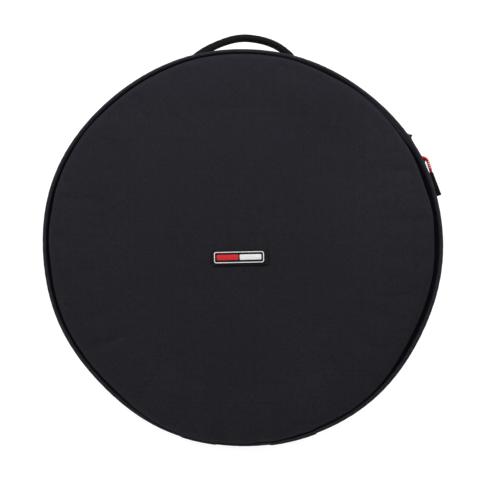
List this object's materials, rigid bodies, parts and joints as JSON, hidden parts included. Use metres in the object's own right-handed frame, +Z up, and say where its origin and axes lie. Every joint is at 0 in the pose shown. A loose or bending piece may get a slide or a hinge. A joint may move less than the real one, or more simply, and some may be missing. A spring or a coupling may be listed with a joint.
{
  "type": "floor tom bag",
  "caption": "Round padded drum bag on its base, with a zipped and hinged lid, sliders with cord pulls and a padded side handle.",
  "frame": {"origin": "middle of the base's underside, where the bag stands", "axes": "+Z up along the bag's round axis, out through the lid; -Y towards the carrying handle; +Y towards the lid's hinge"},
  "size_m": [0.4868, 0.5164, 0.4477],
  "materials": {
    "outer_cloth": "matt woven nylon, charcoal black",
    "inner_cloth": "brushed lining cloth, black",
    "padding": "closed-cell foam sheet, dark grey",
    "board": "stiff plastic board, black",
    "webbing": "ribbed webbing and tape, black",
    "piping": "cloth-covered piping, charcoal",
    "zip": "woven tape and moulded teeth, black",
    "black_metal": "black enamelled casting",
    "red_cord": "braided red cord",
    "rubber": "soft moulded rubber, black",
    "silver": "silver-coated raised border"
  },
  "bodies": {
    "bag": {"base_shell": "outer_cloth", "base_board": "board", "base_foam": "padding", "base_lining": "inner_cloth", "base_piping": "piping", "wall_shell": "outer_cloth", "wall_foam": "padding", "wall_lining": "inner_cloth", "rim_binding": "webbing", "back_seam_tape": "webbing", "zip_tape_lower": "zip", "zip_teeth_lower": "zip", "zip_garage_left": "webbing", "zip_garage_right": "webbing", "hinge_panel_lower": "webbing", "handle_patch_left": "webbing", "handle_patch_right": "webbing", "handle_end_left": "webbing", "handle_end_right": "webbing"},
    "lid": {"lid_panel": "outer_cloth", "lid_foam": "padding", "lid_lining": "inner_cloth", "lid_piping": "piping", "lid_band_shell": "outer_cloth", "lid_band_foam": "padding", "lid_band_lining": "inner_cloth", "lid_rim_binding": "webbing", "zip_tape_upper": "zip", "zip_teeth_upper": "zip", "hinge_panel_upper": "webbing", "badge_patch": "rubber", "badge_frame": "silver"},
    "slider_a": {"slider_a_body": "black_metal", "slider_a_crown": "black_metal"},
    "pull_a": {"pull_a_cord": "red_cord", "pull_a_tab": "rubber"},
    "slider_b": {"slider_b_body": "black_metal", "slider_b_crown": "black_metal"},
    "pull_b": {"pull_b_cord": "red_cord", "pull_b_tab": "rubber"},
    "handle": {"handle_strap": "webbing", "handle_grip": "webbing"}
  },
  "joints": [
    {"name": "lid_hinge", "type": "hinge", "parent": "bag", "child": "lid", "pos_m": [0, 0.2385, 0.375], "axis": [-1, 0, 0], "range_deg": [0, 165]},
    {"name": "slider_a_travel", "type": "hinge", "parent": "bag", "child": "slider_a", "pos_m": [0, 0, 0.375], "axis": [0, 0, 1], "range_deg": [-81, 0]},
    {"name": "pull_a_swing", "type": "hinge", "parent": "slider_a", "child": "pull_a", "pos_m": [-0.21779, -0.11001, 0.375], "axis": [0, 0, 1], "range_deg": [0, 120]},
    {"name": "slider_b_travel", "type": "hinge", "parent": "bag", "child": "slider_b", "pos_m": [0, 0, 0.375], "axis": [0, 0, 1], "range_deg": [0, 201]},
    {"name": "pull_b_swing", "type": "hinge", "parent": "slider_b", "child": "pull_b", "pos_m": [-0.2063, -0.13655, 0.375], "axis": [-0.5519, 0.8339, 0], "range_deg": [0, 150]},
    {"name": "handle_lean", "type": "hinge", "parent": "bag", "child": "handle", "pos_m": [0, -0.236, 0.225], "axis": [1, 0, 0], "range_deg": [-20, 20], "stiffness_Nm_per_rad": 0.6}
  ]
}
